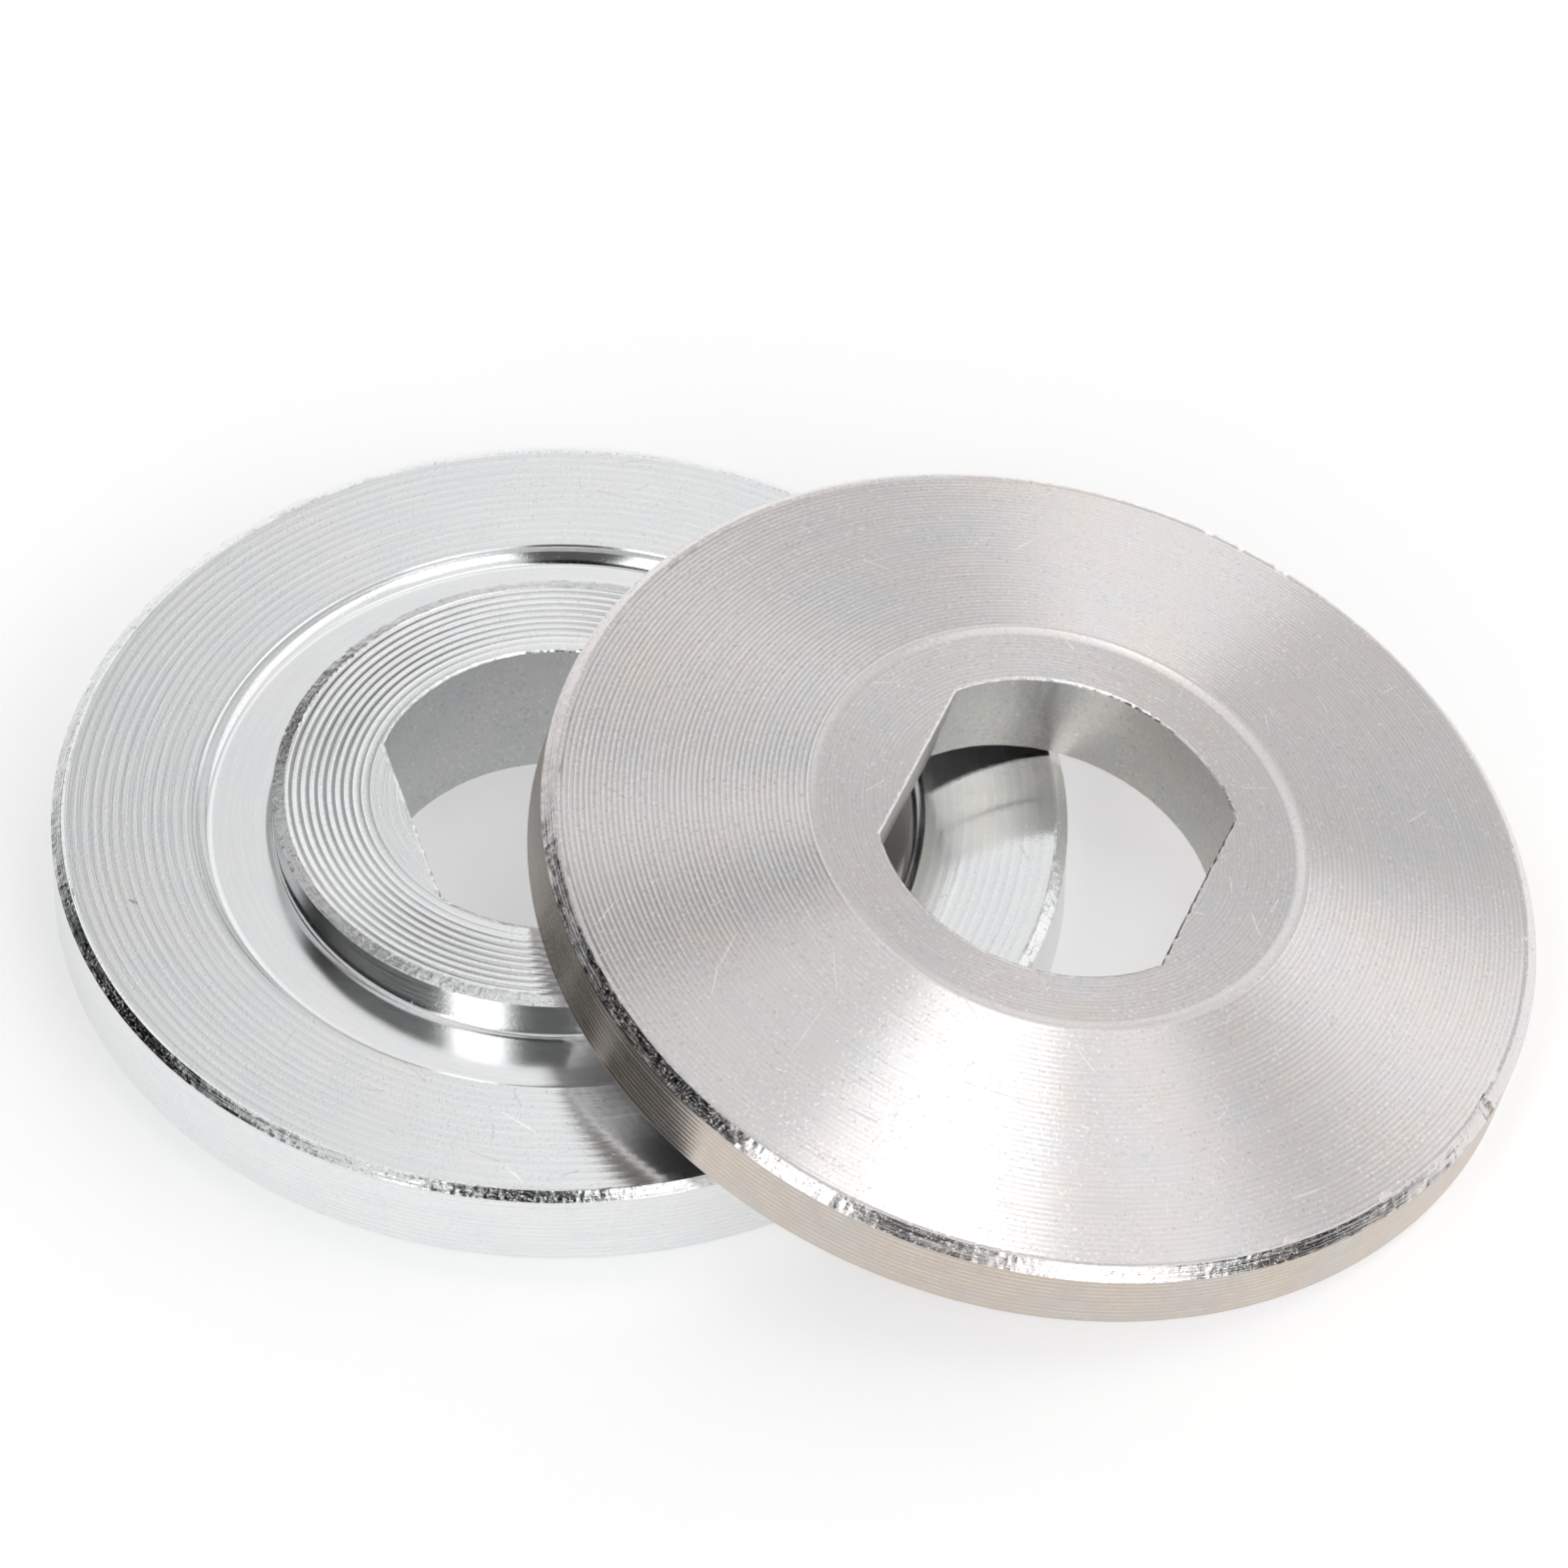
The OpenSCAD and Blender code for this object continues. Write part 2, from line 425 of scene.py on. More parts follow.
def new_group(name, inputs, outputs):
    """An empty node group with the given sockets, and its input and output nodes."""
    tree = bpy.data.node_groups.new(name, "ShaderNodeTree")
    for label, kind, value in inputs:
        socket = tree.interface.new_socket(label, in_out="INPUT", socket_type=kind)
        if value is not None:
            socket.default_value = value
    for label, kind in outputs:
        tree.interface.new_socket(label, in_out="OUTPUT", socket_type=kind)
    return tree, tree.nodes.new("NodeGroupInput"), tree.nodes.new("NodeGroupOutput")


def tool_lines_group():
    """Fine lines left by the tool: they run round the axis and change quickly across it."""
    tree, given, out = new_group(
        "tool lines",
        [("Vector", "NodeSocketVector", None), ("Fineness", "NodeSocketFloat", 8.0),
         ("Streak", "NodeSocketFloat", 2.0)],
        [("Lines", "NodeSocketFloat")])
    parts = add(tree, "ShaderNodeSeparateXYZ")
    tree.links.new(given.outputs["Vector"], parts.inputs[0])
    flat = add(tree, "ShaderNodeCombineXYZ")
    tree.links.new(parts.outputs[0], flat.inputs[0])
    tree.links.new(parts.outputs[1], flat.inputs[1])
    length = add(tree, "ShaderNodeVectorMath", operation="LENGTH")
    tree.links.new(flat.outputs[0], length.inputs[0])
    across = maths(tree, "SUBTRACT", length.outputs["Value"], parts.outputs[2])
    around = add(tree, "ShaderNodeVectorMath", operation="NORMALIZE")
    tree.links.new(flat.outputs[0], around.inputs[0])
    turn = add(tree, "ShaderNodeSeparateXYZ")
    tree.links.new(around.outputs[0], turn.inputs[0])
    where = add(tree, "ShaderNodeCombineXYZ")
    tree.links.new(maths(tree, "MULTIPLY", across, given.outputs["Fineness"]), where.inputs[0])
    tree.links.new(maths(tree, "MULTIPLY", turn.outputs[0], given.outputs["Streak"]), where.inputs[1])
    tree.links.new(maths(tree, "MULTIPLY", turn.outputs[1], given.outputs["Streak"]), where.inputs[2])
    wave = add(tree, "ShaderNodeTexNoise", Scale=1.0, Detail=3.0, Roughness=0.65)
    tree.links.new(where.outputs[0], wave.inputs["Vector"])
    tree.links.new(wave.outputs[0], out.inputs["Lines"])
    return tree


def crest_sheen_group():
    """A thin line along the crest between two feeds of the tool, stronger and weaker along it: painted
    highlight, partly a burnished crest.
    """
    tree, given, out = new_group(
        "crests",
        [("Vector", "NodeSocketVector", None), ("Feeds", "NodeSocketVector", None)],
        [("Line", "NodeSocketFloat")])
    count = add(tree, "ShaderNodeSeparateXYZ")
    tree.links.new(given.outputs["Feeds"], count.inputs[0])
    hollow = maths(tree, "PINGPONG", count.outputs[0], 0.5)
    crest = maths(tree, "SUBTRACT", 1.0, maths(tree, "MULTIPLY", hollow, 2.0))
    line = maths(tree, "POWER", crest, CREST_SHARPNESS)
    crest_breaks = add(tree, "ShaderNodeTexNoise", Scale=0.9, Detail=2.0, Roughness=0.6)
    tree.links.new(given.outputs["Vector"], crest_breaks.inputs["Vector"])
    # Where the painted crest highlight is strong along its length and where it breaks off
    strength = maths(tree, "MULTIPLY_ADD", crest_breaks.outputs[0], CREST_BREAK_GAIN, CREST_BREAK_LEVEL, clamp=True)
    tree.links.new(maths(tree, "MULTIPLY", line, strength), out.inputs["Line"])
    return tree


def scratches_group():
    """Short straight scratches that point every way, scattered, as a mask."""
    tree, given, out = new_group(
        "scratches",
        [("Vector", "NodeSocketVector", None), ("Scale", "NodeSocketFloat", 0.5),
         ("Amount", "NodeSocketFloat", 0.2)],
        [("Mask", "NodeSocketFloat")])
    cells = add(tree, "ShaderNodeTexVoronoi", feature="F1")
    tree.links.new(given.outputs["Vector"], cells.inputs["Vector"])
    tree.links.new(given.outputs["Scale"], cells.inputs["Scale"])
    pick = add(tree, "ShaderNodeSeparateColor")
    tree.links.new(cells.outputs["Color"], pick.inputs[0])
    away = add(tree, "ShaderNodeVectorMath", operation="SUBTRACT")
    tree.links.new(given.outputs["Vector"], away.inputs[0])
    tree.links.new(cells.outputs["Position"], away.inputs[1])
    turned = add(tree, "ShaderNodeVectorRotate", rotation_type="Z_AXIS")
    tree.links.new(away.outputs[0], turned.inputs["Vector"])
    tree.links.new(maths(tree, "MULTIPLY", pick.outputs[0], math.pi), turned.inputs["Angle"])
    along = add(tree, "ShaderNodeSeparateXYZ")
    tree.links.new(turned.outputs[0], along.inputs[0])
    off_line = maths(tree, "ABSOLUTE", along.outputs[1])
    off_middle = maths(tree, "ABSOLUTE", along.outputs[0])
    thin = maths(tree, "LESS_THAN", off_line, SCRATCH_HALF_WIDTH)
    longest = maths(tree, "MULTIPLY", pick.outputs[1], SCRATCH_HALF_LENGTH)
    short = maths(tree, "LESS_THAN", off_middle, longest)
    chosen = maths(tree, "LESS_THAN", pick.outputs[2], given.outputs["Amount"])
    scratch = maths(tree, "MULTIPLY", thin, short)
    tree.links.new(maths(tree, "MULTIPLY", scratch, chosen), out.inputs["Mask"])
    return tree


def marks_group(name, marks, surface_z):
    """The longer scratches of one washer; the level goes up on a bright one and down on a dark one."""
    tree, given, out = new_group(
        name, [("Vector", "NodeSocketVector", None)], [("Level", "NodeSocketFloat")])
    total = 0.0
    for x, y, half_length, turn, half_width, strength in marks:
        lay = add(tree, "ShaderNodeMapping", vector_type="TEXTURE")
        lay.inputs["Location"].default_value = (x, y, surface_z(math.hypot(x, y)))
        lay.inputs["Rotation"].default_value = (0, 0, math.radians(turn))
        lay.inputs["Scale"].default_value = (half_length, half_width, 1.0)
        tree.links.new(given.outputs["Vector"], lay.inputs["Vector"])
        length = add(tree, "ShaderNodeVectorMath", operation="LENGTH")
        tree.links.new(lay.outputs[0], length.inputs[0])
        inside = maths(tree, "LESS_THAN", length.outputs["Value"], 1.0)
        total = maths(tree, "MULTIPLY_ADD", inside, strength, total)
    tree.links.new(total, out.inputs["Level"])
    return tree


def specks_group():
    """Tiny bright and dark specks of the plate, in patches; 0.5 where there is none."""
    tree, given, out = new_group(
        "specks",
        [("Vector", "NodeSocketVector", None), ("Scale", "NodeSocketFloat", 5.0)],
        [("Level", "NodeSocketFloat")])
    grain = add(tree, "ShaderNodeTexNoise", Detail=2.0, Roughness=0.7)
    tree.links.new(given.outputs["Vector"], grain.inputs["Vector"])
    tree.links.new(given.outputs["Scale"], grain.inputs["Scale"])
    patch = add(tree, "ShaderNodeTexNoise", Scale=0.35, Detail=2.0)
    tree.links.new(given.outputs["Vector"], patch.inputs["Vector"])
    spread = maths(tree, "MULTIPLY_ADD", patch.outputs[0], PATCH_GAIN, PATCH_LEVEL, clamp=True)
    apart = maths(tree, "SUBTRACT", grain.outputs[0], 0.5)
    cubed = maths(tree, "MULTIPLY", maths(tree, "MULTIPLY", apart, apart), apart)
    strong = maths(tree, "MULTIPLY", cubed, SPECK_GAIN)
    level = maths(tree, "MULTIPLY_ADD", strong, spread, 0.5, clamp=True)
    tree.links.new(level, out.inputs["Level"])
    return tree


def plate_tints_group():
    """The slow drift of colour in the zinc plate, between three tints."""
    tree, given, out = new_group(
        "plate tints",
        [("Vector", "NodeSocketVector", None), ("Plain", "NodeSocketColor", (0.8, 0.8, 0.8, 1)),
         ("Warm", "NodeSocketColor", (0.82, 0.78, 0.74, 1)),
         ("Cool", "NodeSocketColor", (0.76, 0.79, 0.82, 1))],
        [("Color", "NodeSocketColor")])
    last = given.outputs["Plain"]
    for tint, scale, shift in (("Warm", 0.13, 0.0), ("Cool", 0.3, 31.0)):
        drift = add(tree, "ShaderNodeTexNoise", Scale=scale, Detail=4.0, Roughness=0.65)
        moved = add(tree, "ShaderNodeVectorMath", operation="ADD")
        moved.inputs[1].default_value = (shift, shift, shift)
        tree.links.new(given.outputs["Vector"], moved.inputs[0])
        tree.links.new(moved.outputs[0], drift.inputs["Vector"])
        share = add(tree, "ShaderNodeMapRange", interpolation_type="SMOOTHSTEP")
        share.inputs["From Min"].default_value = 0.4
        share.inputs["From Max"].default_value = 0.7
        tree.links.new(drift.outputs[0], share.inputs["Value"])
        mix = add(tree, "ShaderNodeMix", data_type="RGBA")
        tree.links.new(share.outputs[0], mix.inputs[0])
        tree.links.new(last, mix.inputs[6])
        tree.links.new(given.outputs[tint], mix.inputs[7])
        last = mix.outputs[2]
    tree.links.new(last, out.inputs["Color"])
    return tree


TOOL_LINES = tool_lines_group()
CREST_SHEEN = crest_sheen_group()
SCRATCHES = scratches_group()
SPECKS = specks_group()
INNER_SCRATCHES = marks_group("inner washer marks", INNER_MARKS, lambda r: INNER_FACE_Z)
OUTER_SCRATCHES = marks_group("outer washer marks", OUTER_MARKS, cone_z)
PLATE_TINTS = plate_tints_group()


def put_group(tree, group, vector, **values):
    """Adds a node group on the given coordinates, and gives back its output."""
    node = tree.nodes.new("ShaderNodeGroup")
    node.node_tree = group
    tree.links.new(vector, node.inputs["Vector"])
    for key, value in values.items():
        node.inputs[key].default_value = value
    return node.outputs[0]


def turned_steel(name, placement, tints, roughness, grain, fineness, bump, speck,
                 crest=0.0, scratch=0.0, anisotropy=0.0, marks=None):
    """Turned steel with a bright plate; the pattern is laid on the washer's own axis.

    The grain is how much the fine tool lines change the roughness, and the bump is how high they
    stand in millimetres. The crest says how bright the crest lines are, a painted highlight that is
    partly a burnished crest; the speck says how bright the specks are, and the scratch is the share
    of places that have one.
    """
    material = bpy.data.materials.new(name)
    material.use_nodes = True
    tree = material.node_tree
    shader = tree.nodes["Principled BSDF"]
    shader.inputs["Metallic"].default_value = 1.0
    shader.inputs["Anisotropic"].default_value = anisotropy
    own = placement.inverted()
    where = add(tree, "ShaderNodeTexCoord")
    lay = add(tree, "ShaderNodeMapping", vector_type="POINT")
    lay.inputs["Location"].default_value = own.translation / MM
    lay.inputs["Rotation"].default_value = own.to_euler()
    lay.inputs["Scale"].default_value = (1 / MM, 1 / MM, 1 / MM)
    tree.links.new(where.outputs["Object"], lay.inputs["Vector"])
    vector = lay.outputs["Vector"]
    plain, warm, cool = tints
    colour = put_group(tree, PLATE_TINTS, vector, Plain=(*plain, 1), Warm=(*warm, 1), Cool=(*cool, 1))
    lines = put_group(tree, TOOL_LINES, vector, Fineness=fineness, Streak=LINE_STREAK)
    specks = put_group(tree, SPECKS, vector, Scale=SPECK_FINENESS)
    scratches = put_group(tree, SCRATCHES, vector, Scale=SCRATCH_DENSITY, Amount=scratch)
    feeds = add(tree, "ShaderNodeUVMap", uv_map=LINES_MAP)
    crests = put_group(tree, CREST_SHEEN, vector)
    tree.links.new(feeds.outputs[0], crests.node.inputs["Feeds"])
    plain_level = PLAIN_TONE - speck / 2 - MEAN_CREST_SHEEN * crest
    level = maths(tree, "MULTIPLY_ADD", lines, LINES_TONE, plain_level)
    level = maths(tree, "MULTIPLY_ADD", specks, speck, level)
    # Painted highlight along the crests, partly burnished crests: the colour is lighter on each crest
    level = maths(tree, "MULTIPLY_ADD", crests, crest, level)
    level = maths(tree, "MULTIPLY_ADD", scratches, SCRATCH_TONE, level)
    if marks:
        level = maths(tree, "MULTIPLY_ADD", put_group(tree, marks, vector), MARK_TONE, level)
    tone = add(tree, "ShaderNodeVectorMath", operation="SCALE")
    tree.links.new(colour, tone.inputs[0])
    tree.links.new(level, tone.inputs["Scale"])
    tree.links.new(tone.outputs[0], shader.inputs["Base Color"])
    rough = maths(tree, "MULTIPLY_ADD", lines, grain, roughness - grain / 2)
    rough = maths(tree, "MULTIPLY_ADD", scratches, SCRATCH_ROUGHNESS, rough)
    tree.links.new(rough, shader.inputs["Roughness"])
    height = maths(tree, "MULTIPLY_ADD", specks, SPECK_HEIGHT, lines)
    relief = add(tree, "ShaderNodeBump", Strength=1.0, Distance=bump * MM)
    tree.links.new(maths(tree, "SUBTRACT", height, scratches), relief.inputs["Height"])
    tree.links.new(relief.outputs[0], shader.inputs["Normal"])
    if anisotropy:
        tangent = add(tree, "ShaderNodeTangent", direction_type="UV_MAP", uv_map=LINES_MAP)
        tree.links.new(tangent.outputs[0], shader.inputs["Tangent"])
    return material


UPRIGHT = Matrix.Identity(4)
# Colours of the plate: the plain one, the warm one and the cool one that it drifts between
COOL_TINTS = ((0.83, 0.84, 0.845), (0.84, 0.84, 0.83), (0.81, 0.825, 0.84))
CLEAN_TINTS = ((0.895, 0.905, 0.91), (0.905, 0.905, 0.895), (0.875, 0.89, 0.905))
WARM_TINTS = ((0.797, 0.767, 0.757), (0.815, 0.765, 0.735), (0.775, 0.763, 0.775))
BEIGE_TINTS = ((0.635, 0.565, 0.50), (0.645, 0.557, 0.483), (0.61, 0.57, 0.533))
INNER_BORE_TINTS = ((0.62, 0.63, 0.635), (0.63, 0.63, 0.62), (0.59, 0.60, 0.61))
OUTER_BORE_TINTS = ((0.61, 0.60, 0.57), (0.63, 0.61, 0.565), (0.59, 0.59, 0.58))


def steel_set(name, placement, tints, face_tints, side_tints, bore_tints, face_roughness, face_speck,
              side_crest_sheen, marks):
    """The finishes of one washer, in the order of the numbers below."""
    def finish(part, tones, **values):
        return turned_steel(name + " " + part, placement, tones, **values)
    return [
        # The crest values set the painted highlight along the tool's crests, partly burnished crests
        finish("turned face", face_tints, roughness=face_roughness, grain=0.08, fineness=9.0,
               bump=0.004, speck=face_speck, crest=0.1, scratch=0.15, anisotropy=0.8, marks=marks),
        finish("bright wall", tints, roughness=0.13, grain=0.1, fineness=5.0, bump=0.004, speck=0.2,
               anisotropy=0.3),
        finish("broken edge", tints, roughness=0.13, grain=0.1, fineness=6.0, bump=0.016, speck=0.4),
        finish("bore", bore_tints, roughness=0.45, grain=0.2, fineness=3.0, bump=0.008, speck=0.6),
        finish("rim side", side_tints, roughness=0.25, grain=0.1, fineness=5.0, bump=0.004, speck=0.2,
               crest=side_crest_sheen, anisotropy=0.5),
        finish("relief floor", tints, roughness=0.17, grain=0.05, fineness=5.0, bump=0.001, speck=0.08,
               scratch=0.05, anisotropy=0.2),
        finish("land ring", tints, roughness=0.25, grain=0.1, fineness=5.0, bump=0.003, speck=0.3),
        finish("spigot face", tints, roughness=face_roughness, grain=0.08, fineness=9.0, bump=0.003,
               speck=face_speck, crest=0.2, scratch=0.1, anisotropy=0.7),
    ]


FACE, BRIGHT, EDGE, BORE, SIDE, FLOOR, RING, SPIGOT = range(8)


def inner_washer():
    """The inner washer, on its back, with its relief and spigot up."""
    bm = bmesh.new()
    hole_r = BORE_R + EDGE_W
    top = SPIGOT_TOP_Z
    fillet_top = (SPIGOT_R, RELIEF_FLOOR_Z + FILLET_R)
    fillet_middle = (SPIGOT_R + FILLET_MIDDLE, RELIEF_FLOOR_Z + FILLET_MIDDLE)
    fillet_foot = (SPIGOT_R + FILLET_R, RELIEF_FLOOR_Z)
    spin_run(bm, turned_run((START_R, top), (hole_r, top), INNER_LAND_CUT), FACE, 2)
    spigot_face = turned_run((hole_r, top), (SPIGOT_EDGE_R, top), SPIGOT_FACE_CUT, 4, SPIGOT_FADE)
    spin_run(bm, spigot_face, SPIGOT, 4)
    spigot_edge = turned_run((SPIGOT_EDGE_R, top), (SPIGOT_R, SPIGOT_SIDE_Z), BEVEL_CUT)
    spin_run(bm, spigot_edge, EDGE)
    spigot_side = turned_run((SPIGOT_R, SPIGOT_SIDE_Z), fillet_top, SPIGOT_SIDE_CUT)
    spin_run(bm, spigot_side + [fillet_middle, fillet_foot], BRIGHT, 2)
    spin_run(bm, turned_run(fillet_foot, RELIEF_WALL[0], RELIEF_FLOOR_CUT), FLOOR, 2)
    spin_run(bm, RELIEF_WALL, BRIGHT)
    spin_run(bm, turned_run(RELIEF_WALL[-1], RIM_FACE_END, RIM_FACE_CUT, 4), FACE, 4)
    rim_edge = turned_run(RIM_BURR_TOP, (OUTSIDE_R, INNER_SIDE_HIGH_Z), INNER_RIM_EDGE_CUT)
    rim_edge.insert(0, Vector(RIM_FACE_END))
    spin_run(bm, rim_edge, EDGE)
    side_high, side_low = (OUTSIDE_R, INNER_SIDE_HIGH_Z), (OUTSIDE_R, INNER_SIDE_LOW_Z)
    spin_run(bm, turned_run(side_high, side_low, INNER_SIDE_CUT), SIDE, 2)
    spin_run(bm, turned_run(side_low, (CONE_R, INNER_BACK_Z), BEVEL_CUT), EDGE)
    spin_run(bm, turned_run((CONE_R, INNER_BACK_Z), (LAND_R, 0), INNER_CONE_CUT), FACE, 2)
    spin_run(bm, turned_run((LAND_R, 0), (hole_r, 0), INNER_BACK_CUT), FACE, 2)
    spin_run(bm, turned_run((hole_r, 0), (START_R, 0), INNER_BACK_CUT), FACE, 2)
    bmesh.ops.remove_doubles(bm, verts=bm.verts, dist=MERGE_GAP)
    fray(bm, rim_edge)
    fray(bm, spigot_edge)
    lip = [(top - below, set_back, uneven) for below, set_back, uneven in INNER_LIP]
    open_bore(bm, top, 0.0, lip, INNER_WALL)
    materials = steel_set("inner", UPRIGHT, tints=CLEAN_TINTS, face_tints=COOL_TINTS,
                          side_tints=COOL_TINTS, bore_tints=INNER_BORE_TINTS, face_roughness=0.13,
                          face_speck=0.25, side_crest_sheen=0.1, marks=INNER_SCRATCHES)
    finish_washer(bm, "inner_clamp_washer", "inner_washer", UPRIGHT, materials)


def outer_placement():
    """Where the outer washer lies: its clamp face's middle and its axis come from the record."""
    mounts = {m["name"]: m for m in frame["record"]["mounts"]}
    seat = mounts["outer_clamp_face"]
    up = -Vector(seat["axis"]).normalized()
    lean = math.acos(up.z)
    lay = math.atan2(up.y, up.x)
    turn = (Matrix.Rotation(lay, 4, "Z") @ Matrix.Rotation(lean, 4, "Y")
            @ Matrix.Rotation(math.radians(OUTER_TURN), 4, "Z"))
    return Matrix.Translation(seat["pos_m"]) @ turn


def outer_washer(placement):
    """The outer washer, with its conical back up, in the lean that the pair lies in."""
    bm = bmesh.new()
    hole_r = BORE_R + EDGE_W
    top = OUTER_LAND_Z
    floor_z = RECESS_FLOOR_Z
    spin_run(bm, turned_run((START_R, top), (hole_r, top), OUTER_LAND_CUT), FACE, 2)
    spin_run(bm, turned_run((hole_r, top), LAND_RING[0], OUTER_LAND_CUT), FACE, 2)
    spin_run(bm, LAND_RING, RING)
    spin_run(bm, turned_run(LAND_RING[-1], CONE_END, OUTER_CONE_CUT), FACE, 2)
    rim_edge = turned_run(CONE_BURR_TOP, (OUTSIDE_R, OUTER_SIDE_HIGH_Z), BEVEL_CUT)
    rim_edge.insert(0, Vector(CONE_END))
    spin_run(bm, rim_edge, EDGE)
    side_high, side_low = (OUTSIDE_R, OUTER_SIDE_HIGH_Z), (OUTSIDE_R, OUTER_SIDE_LOW_Z)
    spin_run(bm, turned_run(side_high, side_low, OUTER_SIDE_CUT), SIDE, 2)
    spin_run(bm, turned_run(side_low, (OUTER_FACE_R, 0), BEVEL_CUT), EDGE)
    spin_run(bm, turned_run((OUTER_FACE_R, 0), (RECESS_MOUTH_R, 0), OUTER_FACE_CUT), FACE, 2)
    recess_wall = turned_run((RECESS_MOUTH_R, 0), (RECESS_FLOOR_R, floor_z), RECESS_WALL_CUT)
    spin_run(bm, recess_wall, BRIGHT, 2)
    spin_run(bm, turned_run((RECESS_FLOOR_R, floor_z), (hole_r, floor_z), RECESS_FLOOR_CUT), FACE, 2)
    spin_run(bm, turned_run((hole_r, floor_z), (START_R, floor_z), RECESS_FLOOR_CUT), FACE, 2)
    bmesh.ops.remove_doubles(bm, verts=bm.verts, dist=MERGE_GAP)
    fray(bm, rim_edge, RIM_DENTS)
    lip = [(top - below, set_back, uneven) for below, set_back, uneven in OUTER_LIP]
    open_bore(bm, top, floor_z, lip, OUTER_WALL)
    materials = steel_set("outer", placement, tints=WARM_TINTS, face_tints=WARM_TINTS,
                          side_tints=BEIGE_TINTS, bore_tints=OUTER_BORE_TINTS, face_roughness=0.2,
                          face_speck=0.4, side_crest_sheen=0.3, marks=OUTER_SCRATCHES)
    finish_washer(bm, "outer_clamp_washer", "outer_washer", placement, materials)


# The camera, at the photograph's viewing angle
PHOTO_SIZE = 1569
FOCAL_PIXELS = 12127.7
SENSOR_MM = 36.0
CAMERA_AZIMUTH = -17.67
CAMERA_ELEVATION = 47.85
CAMERA_ROLL = 1.19
CAMERA_DISTANCE = 536.5
# The nearest and the farthest thing that it sees, in metres
CLIP_NEAR = 0.01
CLIP_FAR = 20
# Where the middle of the inner washer's clamp face is in the photograph
FACE_PIXEL_X = 560.1
FACE_PIXEL_Y = 811.2


def camera_axes():
    """Right, up and back of the camera, as unit vectors."""
    a, e = math.radians(CAMERA_AZIMUTH), math.radians(CAMERA_ELEVATION)
    back = Vector((math.sin(a) * math.cos(e), -math.cos(a) * math.cos(e), math.sin(e)))
    level = Vector((math.cos(a), math.sin(a), 0))
    roll = math.radians(CAMERA_ROLL)
    up = back.cross(level)
    right = level * math.cos(roll) + up * math.sin(roll)
    return right, back.cross(right), back


def camera():
    """Places the camera so that the inner washer's clamp face is where the photograph has it."""
    right, up, back = camera_axes()
    across = (FACE_PIXEL_X - PHOTO_SIZE / 2) / FOCAL_PIXELS * CAMERA_DISTANCE
    above = -(FACE_PIXEL_Y - PHOTO_SIZE / 2) / FOCAL_PIXELS * CAMERA_DISTANCE
    face = Vector((0, 0, INNER_FACE_Z))
    place = face - across * right - above * up + CAMERA_DISTANCE * back
    data = bpy.data.cameras.new("camera")
    data.sensor_width = SENSOR_MM
    data.lens = FOCAL_PIXELS / PHOTO_SIZE * SENSOR_MM
    data.clip_start = CLIP_NEAR
    data.clip_end = CLIP_FAR
    lens = bpy.data.objects.new("camera", data)
    axes = Matrix((right, up, back)).transposed().to_4x4()
    lens.matrix_world = Matrix.Translation(place * MM) @ axes
    bpy.context.scene.collection.objects.link(lens)
    bpy.context.scene.camera = lens


# The studio

FLOOR_COLOR = (0.86, 0.86, 0.86, 1)
FLOOR_ROUGHNESS = 0.9
FLOOR_SPECULAR = 0.1
# Its radius, and how far it is below the washers so that it doesn't cut into them, in metres
FLOOR_RADIUS = 4.0
FLOOR_DROP = 0.00002
# Light of its own that makes the floor as white as the photograph's ground
FLOOR_LIFT = 0.362


def studio_floor():
    """A plain pale floor that shows white and keeps the washers' shadow."""
    bm = bmesh.new()
    bmesh.ops.create_circle(bm, cap_ends=True, segments=96, radius=FLOOR_RADIUS)
    bmesh.ops.translate(bm, verts=bm.verts, vec=(0, 0, -FLOOR_DROP))
    mesh = bpy.data.meshes.new("floor")
    bm.to_mesh(mesh)
    bm.free()
    floor = bpy.data.objects.new("floor", mesh)
    bpy.context.scene.collection.objects.link(floor)
    material = bpy.data.materials.new("floor")
    material.use_nodes = True
    tree = material.node_tree
    shader = tree.nodes["Principled BSDF"]
    shader.inputs["Base Color"].default_value = FLOOR_COLOR
    shader.inputs["Roughness"].default_value = FLOOR_ROUGHNESS
    shader.inputs["Specular IOR Level"].default_value = FLOOR_SPECULAR
    rays = add(tree, "ShaderNodeLightPath")
    seen = maths(tree, "ADD", rays.outputs["Is Camera Ray"], rays.outputs["Is Glossy Ray"])
    seen = maths(tree, "ADD", seen, rays.outputs["Is Transmission Ray"], clamp=True)
    shader.inputs["Emission Color"].default_value = (1, 1, 1, 1)
    tree.links.new(maths(tree, "MULTIPLY", seen, FLOOR_LIFT), shader.inputs["Emission Strength"])
    mesh.materials.append(material)


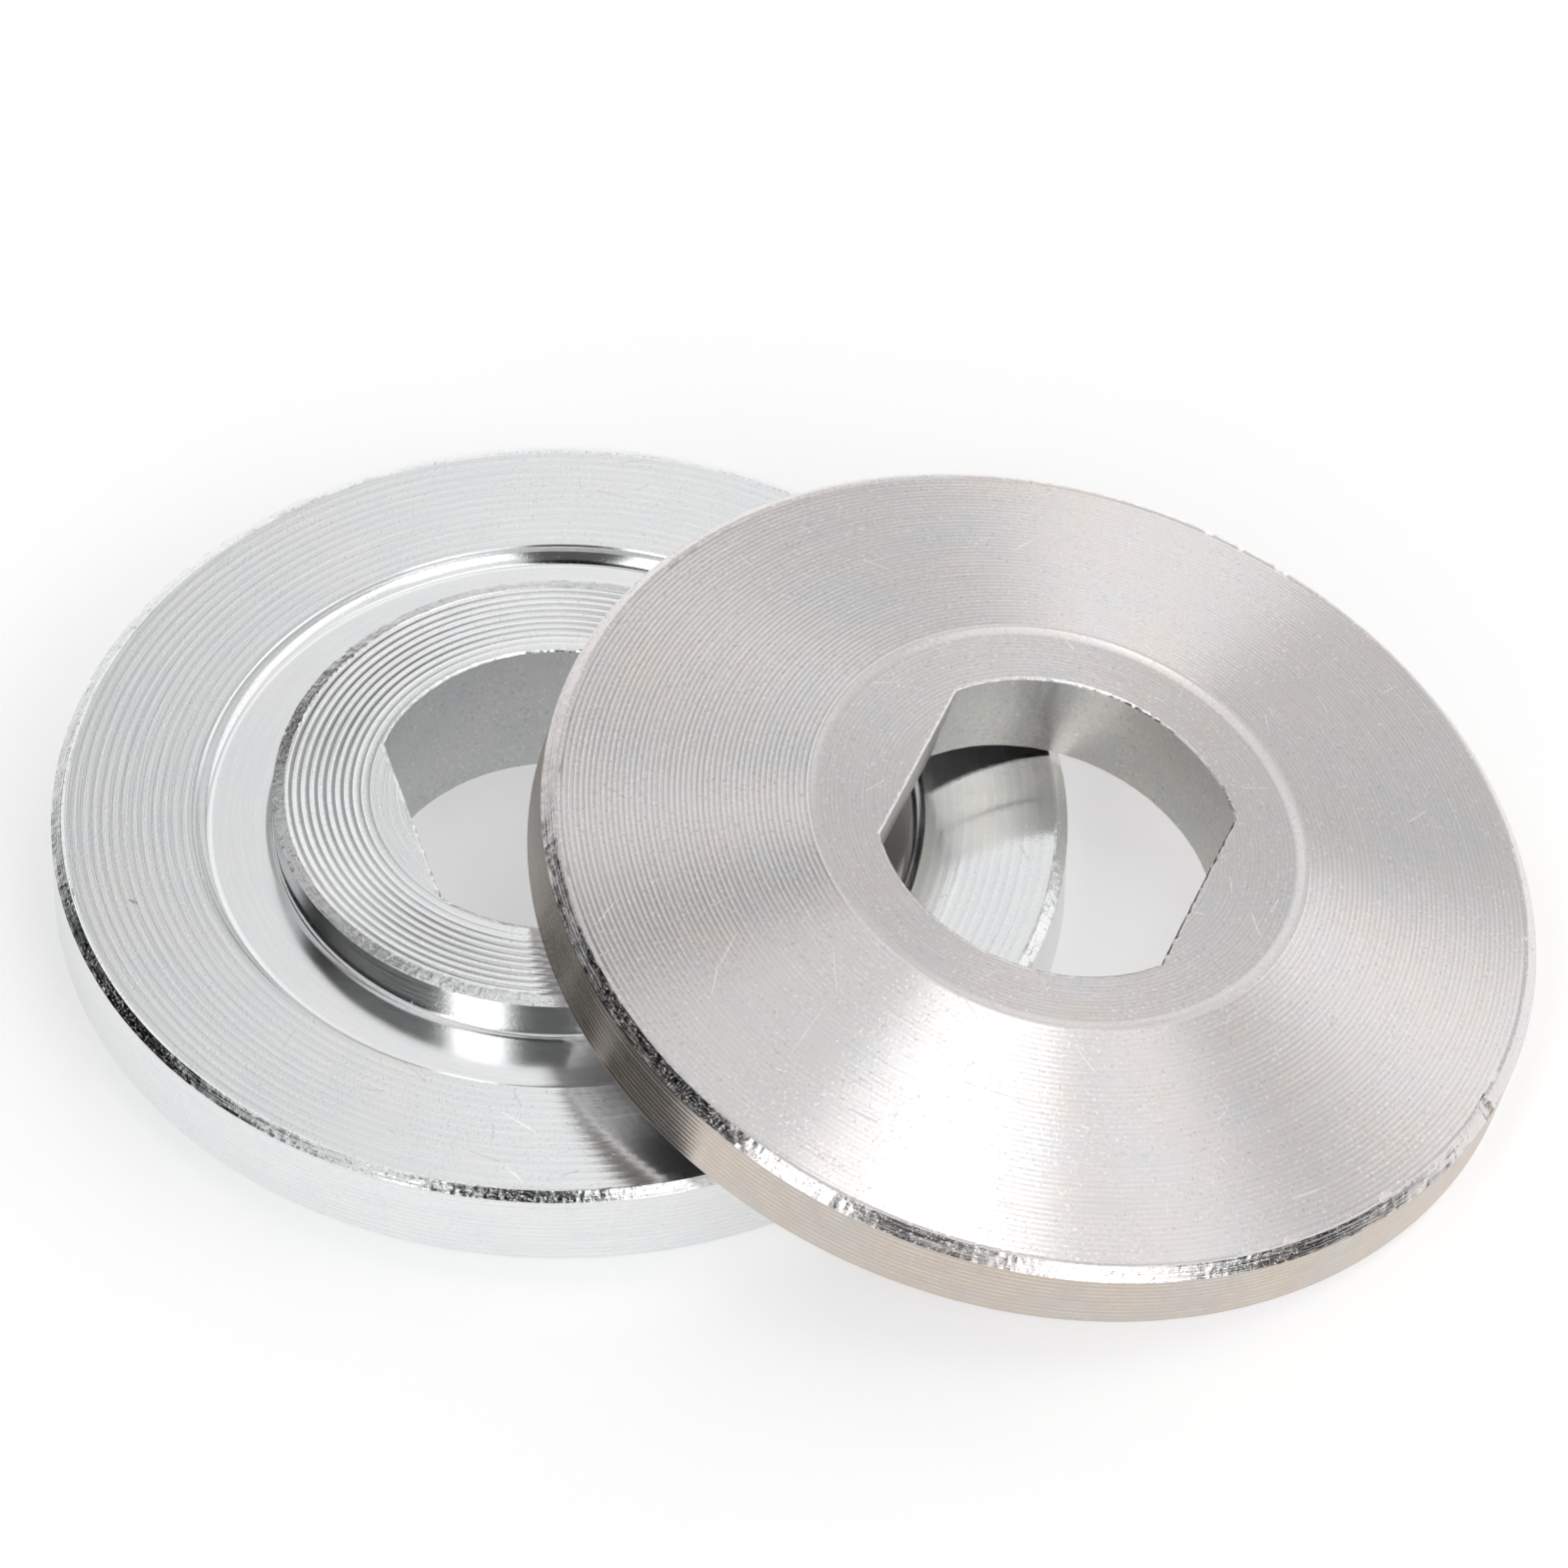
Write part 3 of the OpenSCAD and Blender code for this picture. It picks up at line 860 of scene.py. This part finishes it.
# The studio is a white tent. Each row is a brighter panel or a darker opening in it: its turn from
# the camera's side (+ to its right) and its height, half its width and half its depth, the width
# of its soft edge, all in degrees, and the light that it adds or takes away
TENT_LIGHT = 0.79
TENT_PANELS = [
    (-31.5, 42, 10.5, 18, 2, 1.15),
    (34, 30.5, 17, 18.5, 3, 1.15),
    (77.5, 73, 65.5, 6.5, 2, 1.1),
    (79, 27.5, 53, 13.5, 11, 0.47),
    (-2.5, 47, 15.5, 19, 4, -0.7),
    (-85.5, 39.5, 40.5, 13, 2.5, -0.89),
    (63.5, 7.5, 31, 15.5, 11, -1),
    (-140, 45, 34, 26, 10, -0.57),
    (133, 32.5, 36, 20.5, 6, -0.18),
    (161, 24, 6.5, 22, 2, 0.36),
    (-157, 47, 34, 13, 8, 0.33),
    (-13, 76, 29, 15.5, 5, -1),
    (-166, 38, 19, 13, 6, -0.2),
    (175, 18, 8, 15, 3, -0.18),
    (112, 57, 34, 6, 6, 0.2),
]


def soft_band(tree, distance, half, edge):
    """1 where a distance is less than half a width, falling to 0 over a soft edge."""
    fall = add(tree, "ShaderNodeMapRange", interpolation_type="SMOOTHSTEP")
    fall.inputs["From Min"].default_value = math.radians(half + edge / 2)
    fall.inputs["From Max"].default_value = math.radians(half - edge / 2)
    tree.links.new(distance, fall.inputs["Value"])
    return fall.outputs[0]


def studio_tent():
    """Lights the washers from all round, by the panels and openings of a white tent."""
    world = bpy.data.worlds.new("studio tent")
    world.use_nodes = True
    tree = world.node_tree
    direction = add(tree, "ShaderNodeTexCoord").outputs["Generated"]
    split = add(tree, "ShaderNodeSeparateXYZ")
    tree.links.new(direction, split.inputs[0])
    x, y, z = split.outputs
    height = maths(tree, "ARCSINE", z)
    turned = maths(tree, "ARCTAN2", x, maths(tree, "MULTIPLY", y, -1))
    light = TENT_LIGHT
    for turn, elevation, half_width, half_depth, edge, change in TENT_PANELS:
        away = maths(tree, "SUBTRACT", turned, math.radians(CAMERA_AZIMUTH + turn))
        across = soft_band(tree, maths(tree, "PINGPONG", away, math.pi), half_width, edge)
        apart = maths(tree, "SUBTRACT", height, math.radians(elevation))
        upright = soft_band(tree, maths(tree, "ABSOLUTE", apart), half_depth, edge)
        panel = maths(tree, "MULTIPLY", across, upright)
        light = maths(tree, "MULTIPLY_ADD", panel, change, light)
    light = maths(tree, "MAXIMUM", light, 0)
    camera_ray = add(tree, "ShaderNodeLightPath").outputs["Is Camera Ray"]
    background = tree.nodes["Background"]
    background.inputs["Color"].default_value = (1, 1, 1, 1)
    tree.links.new(maths(tree, "MAXIMUM", light, camera_ray), background.inputs["Strength"])
    bpy.context.scene.world = world
    bpy.context.scene.view_settings.view_transform = "Standard"


camera()
inner_washer()
outer_washer(outer_placement())
studio_floor()
studio_tent()
